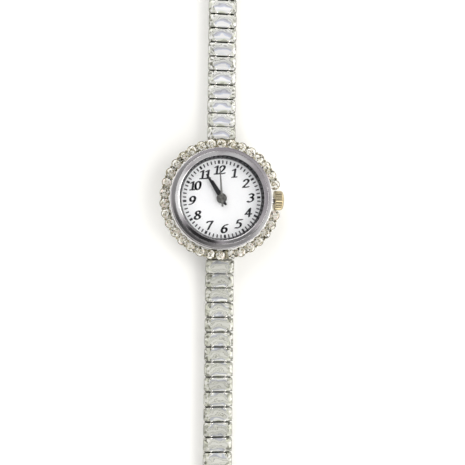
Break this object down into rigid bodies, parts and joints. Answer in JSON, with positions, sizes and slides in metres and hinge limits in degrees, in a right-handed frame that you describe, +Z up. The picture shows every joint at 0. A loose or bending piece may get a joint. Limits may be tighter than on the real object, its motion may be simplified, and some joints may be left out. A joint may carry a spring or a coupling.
{
  "type": "bracelet wristwatch",
  "caption": "Round wristwatch with a ring of cut stones round the case, on a hinged bracelet of rectangular crystals with a fold-over clasp.",
  "frame": {"origin": "centre of the case back's outer face, on the dial's axis", "axes": "+Z up through the dial, +X towards the crown at three o'clock, +Y towards twelve o'clock along the laid-out bracelet"},
  "size_m": [0.0278, 0.1527, 0.0073],
  "materials": {
    "board_green": "green lacquered board",
    "brass": "gilt brass",
    "champagne_stone": "faceted stones with a warm champagne tint",
    "clear_glass": "clear flat mineral glass",
    "copper": "enamelled copper wire",
    "dial_white": "matt white lacquer",
    "hand_dark": "dark lacquered metal",
    "hand_grey": "grey lacquered metal",
    "polished_silver": "polished plated metal with a faint warm tint",
    "seal_nylon": "grey nylon",
    "seal_rubber": "black rubber",
    "setting_silver": "bright plated metal, darker in the seams",
    "steel": "satin steel"
  },
  "bodies": {
    "case": {"case_body": "polished_silver", "case_back": "steel", "back_gasket": "seal_rubber", "bezel": "polished_silver", "crystal_lens": "clear_glass", "lens_gasket": "seal_nylon", "ring_settings": "setting_silver", "ring_stones": "champagne_stone", "dial": "dial_white", "movement_plate": "steel", "train_bridge": "brass", "battery": "steel", "circuit_board": "board_green", "coil": "copper", "stator": "steel"},
    "minute_hand": {"minute_hand": "hand_dark", "cannon_pinion": "steel"},
    "hour_hand": {"hour_hand": "hand_dark", "hour_wheel": "brass"},
    "minute_wheel": {"minute_wheel": "brass"},
    "seconds_hand": {"seconds_hand": "hand_grey", "seconds_wheel": "brass"},
    "step_wheel": {"step_wheel": "brass"},
    "rotor": {"rotor": "steel"},
    "third_wheel": {"third_wheel": "brass"},
    "centre_wheel": {"centre_wheel": "brass"},
    "sliding_pinion": {"sliding_pinion": "steel"},
    "crown": {"crown": "brass", "stem": "steel"},
    "upper_01": {"upper_link_01": "setting_silver"},
    "upper_02": {"upper_link_02": "setting_silver"},
    "upper_03": {"upper_link_03": "setting_silver"},
    "upper_04": {"upper_link_04": "setting_silver"},
    "upper_05": {"upper_link_05": "setting_silver"},
    "upper_06": {"upper_link_06": "setting_silver"},
    "upper_07": {"upper_link_07": "setting_silver"},
    "upper_08": {"upper_link_08": "setting_silver"},
    "upper_09": {"upper_link_09": "setting_silver"},
    "upper_10": {"upper_link_10": "setting_silver"},
    "upper_11": {"upper_link_11": "setting_silver"},
    "upper_12": {"upper_link_12": "setting_silver"},
    "upper_13": {"upper_link_13": "setting_silver"},
    "ladder": {"ladder": "setting_silver"},
    "lower_01": {"lower_link_01": "setting_silver"},
    "lower_02": {"lower_link_02": "setting_silver"},
    "lower_03": {"lower_link_03": "setting_silver"},
    "lower_04": {"lower_link_04": "setting_silver"},
    "lower_05": {"lower_link_05": "setting_silver"},
    "lower_06": {"lower_link_06": "setting_silver"},
    "lower_07": {"lower_link_07": "setting_silver"},
    "lower_08": {"lower_link_08": "setting_silver"},
    "lower_09": {"lower_link_09": "setting_silver"},
    "lower_10": {"lower_link_10": "setting_silver"},
    "lower_11": {"lower_link_11": "setting_silver"},
    "lower_12": {"lower_link_12": "setting_silver"},
    "lower_13": {"lower_link_13": "setting_silver"},
    "lower_14": {"lower_link_14": "setting_silver"},
    "lower_15": {"lower_link_15": "setting_silver"},
    "clasp_base": {"clasp_base": "setting_silver"},
    "clasp_cover": {"clasp_cover": "setting_silver"}
  },
  "joints": [
    {"name": "minute_hand_turn", "type": "hinge", "parent": "case", "child": "minute_hand", "pos_m": [0, 0, 0], "axis": [0, 0, -1], "continuous": true},
    {"name": "hour_hand_turn", "type": "hinge", "parent": "case", "child": "hour_hand", "pos_m": [0, 0, 0], "axis": [0, 0, -1], "continuous": true},
    {"name": "minute_wheel_turn", "type": "hinge", "parent": "case", "child": "minute_wheel", "pos_m": [0.00156, -0.00156, 0], "axis": [0, 0, -1], "continuous": true},
    {"name": "seconds_hand_turn", "type": "hinge", "parent": "case", "child": "seconds_hand", "pos_m": [0, 0, 0], "axis": [0, 0, -1], "continuous": true},
    {"name": "step_wheel_turn", "type": "hinge", "parent": "case", "child": "step_wheel", "pos_m": [-0.0009, 0.00248, 0], "axis": [0, 0, -1], "continuous": true},
    {"name": "rotor_turn", "type": "hinge", "parent": "case", "child": "rotor", "pos_m": [0.00045, 0.00409, 0], "axis": [0, 0, -1], "continuous": true},
    {"name": "third_wheel_turn", "type": "hinge", "parent": "case", "child": "third_wheel", "pos_m": [0.00128, -0.00221, 0], "axis": [0, 0, -1], "continuous": true},
    {"name": "centre_wheel_turn", "type": "hinge", "parent": "case", "child": "centre_wheel", "pos_m": [0, 0, 0], "axis": [0, 0, -1], "continuous": true},
    {"name": "crown_turn", "type": "hinge", "parent": "case", "child": "sliding_pinion", "pos_m": [0.005, 0, 0.0031], "axis": [1, 0, 0], "continuous": true},
    {"name": "crown_pull", "type": "slide", "parent": "sliding_pinion", "child": "crown", "axis": [1, 0, 0], "range_m": [0, 0.001]},
    {"name": "upper_01_hinge", "type": "hinge", "parent": "case", "child": "upper_01", "pos_m": [0, 0.01324, 0.00135], "axis": [-1, 0, 0], "range_deg": [-5, 20]},
    {"name": "upper_02_hinge", "type": "hinge", "parent": "upper_01", "child": "upper_02", "pos_m": [0, 0.01649, 0.00078], "axis": [-1, 0, 0], "range_deg": [-5, 9]},
    {"name": "upper_03_hinge", "type": "hinge", "parent": "upper_02", "child": "upper_03", "pos_m": [0, 0.01978, 0.00055], "axis": [-1, 0, 0], "range_deg": [-5, 9]},
    {"name": "upper_04_hinge", "type": "hinge", "parent": "upper_03", "child": "upper_04", "pos_m": [0, 0.02308, 0.00055], "axis": [-1, 0, 0], "range_deg": [-5, 9]},
    {"name": "upper_05_hinge", "type": "hinge", "parent": "upper_04", "child": "upper_05", "pos_m": [0, 0.02638, 0.00055], "axis": [-1, 0, 0], "range_deg": [-5, 9]},
    {"name": "upper_06_hinge", "type": "hinge", "parent": "upper_05", "child": "upper_06", "pos_m": [0, 0.02968, 0.00055], "axis": [-1, 0, 0], "range_deg": [-5, 9]},
    {"name": "upper_07_hinge", "type": "hinge", "parent": "upper_06", "child": "upper_07", "pos_m": [0, 0.03298, 0.00055], "axis": [-1, 0, 0], "range_deg": [-5, 9]},
    {"name": "upper_08_hinge", "type": "hinge", "parent": "upper_07", "child": "upper_08", "pos_m": [0, 0.03628, 0.00055], "axis": [-1, 0, 0], "range_deg": [-5, 9]},
    {"name": "upper_09_hinge", "type": "hinge", "parent": "upper_08", "child": "upper_09", "pos_m": [0, 0.03958, 0.00055], "axis": [-1, 0, 0], "range_deg": [-5, 9]},
    {"name": "upper_10_hinge", "type": "hinge", "parent": "upper_09", "child": "upper_10", "pos_m": [0, 0.04288, 0.00055], "axis": [-1, 0, 0], "range_deg": [-5, 9]},
    {"name": "upper_11_hinge", "type": "hinge", "parent": "upper_10", "child": "upper_11", "pos_m": [0, 0.04618, 0.00055], "axis": [-1, 0, 0], "range_deg": [-5, 9]},
    {"name": "upper_12_hinge", "type": "hinge", "parent": "upper_11", "child": "upper_12", "pos_m": [0, 0.04948, 0.00055], "axis": [-1, 0, 0], "range_deg": [-5, 9]},
    {"name": "upper_13_hinge", "type": "hinge", "parent": "upper_12", "child": "upper_13", "pos_m": [0, 0.05278, 0.00055], "axis": [-1, 0, 0], "range_deg": [-5, 9]},
    {"name": "ladder_hinge", "type": "hinge", "parent": "upper_13", "child": "ladder", "pos_m": [0, 0.05608, 0.00055], "axis": [-1, 0, 0], "range_deg": [-5, 9]},
    {"name": "lower_01_hinge", "type": "hinge", "parent": "case", "child": "lower_01", "pos_m": [0, -0.01324, 0.00135], "axis": [1, 0, 0], "range_deg": [-5, 20]},
    {"name": "lower_02_hinge", "type": "hinge", "parent": "lower_01", "child": "lower_02", "pos_m": [0, -0.01649, 0.00078], "axis": [1, 0, 0], "range_deg": [-5, 9]},
    {"name": "lower_03_hinge", "type": "hinge", "parent": "lower_02", "child": "lower_03", "pos_m": [0, -0.01978, 0.00055], "axis": [1, 0, 0], "range_deg": [-5, 9]},
    {"name": "lower_04_hinge", "type": "hinge", "parent": "lower_03", "child": "lower_04", "pos_m": [0, -0.02308, 0.00055], "axis": [1, 0, 0], "range_deg": [-5, 9]},
    {"name": "lower_05_hinge", "type": "hinge", "parent": "lower_04", "child": "lower_05", "pos_m": [0, -0.02638, 0.00055], "axis": [1, 0, 0], "range_deg": [-5, 9]},
    {"name": "lower_06_hinge", "type": "hinge", "parent": "lower_05", "child": "lower_06", "pos_m": [0, -0.02968, 0.00055], "axis": [1, 0, 0], "range_deg": [-5, 9]},
    {"name": "lower_07_hinge", "type": "hinge", "parent": "lower_06", "child": "lower_07", "pos_m": [0, -0.03298, 0.00055], "axis": [1, 0, 0], "range_deg": [-5, 9]},
    {"name": "lower_08_hinge", "type": "hinge", "parent": "lower_07", "child": "lower_08", "pos_m": [0, -0.03628, 0.00055], "axis": [1, 0, 0], "range_deg": [-5, 9]},
    {"name": "lower_09_hinge", "type": "hinge", "parent": "lower_08", "child": "lower_09", "pos_m": [0, -0.03958, 0.00055], "axis": [1, 0, 0], "range_deg": [-5, 9]},
    {"name": "lower_10_hinge", "type": "hinge", "parent": "lower_09", "child": "lower_10", "pos_m": [0, -0.04288, 0.00055], "axis": [1, 0, 0], "range_deg": [-5, 9]},
    {"name": "lower_11_hinge", "type": "hinge", "parent": "lower_10", "child": "lower_11", "pos_m": [0, -0.04618, 0.00055], "axis": [1, 0, 0], "range_deg": [-5, 9]},
    {"name": "lower_12_hinge", "type": "hinge", "parent": "lower_11", "child": "lower_12", "pos_m": [0, -0.04948, 0.00055], "axis": [1, 0, 0], "range_deg": [-5, 9]},
    {"name": "lower_13_hinge", "type": "hinge", "parent": "lower_12", "child": "lower_13", "pos_m": [0, -0.05278, 0.00055], "axis": [1, 0, 0], "range_deg": [-5, 9]},
    {"name": "lower_14_hinge", "type": "hinge", "parent": "lower_13", "child": "lower_14", "pos_m": [0, -0.05608, 0.00055], "axis": [1, 0, 0], "range_deg": [-5, 9]},
    {"name": "lower_15_hinge", "type": "hinge", "parent": "lower_14", "child": "lower_15", "pos_m": [0, -0.05938, 0.00055], "axis": [1, 0, 0], "range_deg": [-5, 9]},
    {"name": "clasp_base_hinge", "type": "hinge", "parent": "lower_15", "child": "clasp_base", "pos_m": [0, -0.06268, 0.00055], "axis": [1, 0, 0], "range_deg": [-5, 9]},
    {"name": "clasp_cover_hinge", "type": "hinge", "parent": "clasp_base", "child": "clasp_cover", "pos_m": [0, -0.07768, 0.00135], "axis": [1, 0, 0], "range_deg": [0, 100]}
  ],
  "couplings": [
    {"joint": "hour_hand_turn", "follows": "minute_hand_turn", "ratio": 0.083333},
    {"joint": "minute_wheel_turn", "follows": "minute_hand_turn", "ratio": -0.33333},
    {"joint": "step_wheel_turn", "follows": "seconds_hand_turn", "ratio": -5},
    {"joint": "rotor_turn", "follows": "seconds_hand_turn", "ratio": 30},
    {"joint": "third_wheel_turn", "follows": "seconds_hand_turn", "ratio": -0.13333},
    {"joint": "centre_wheel_turn", "follows": "seconds_hand_turn", "ratio": 0.016667}
  ]
}
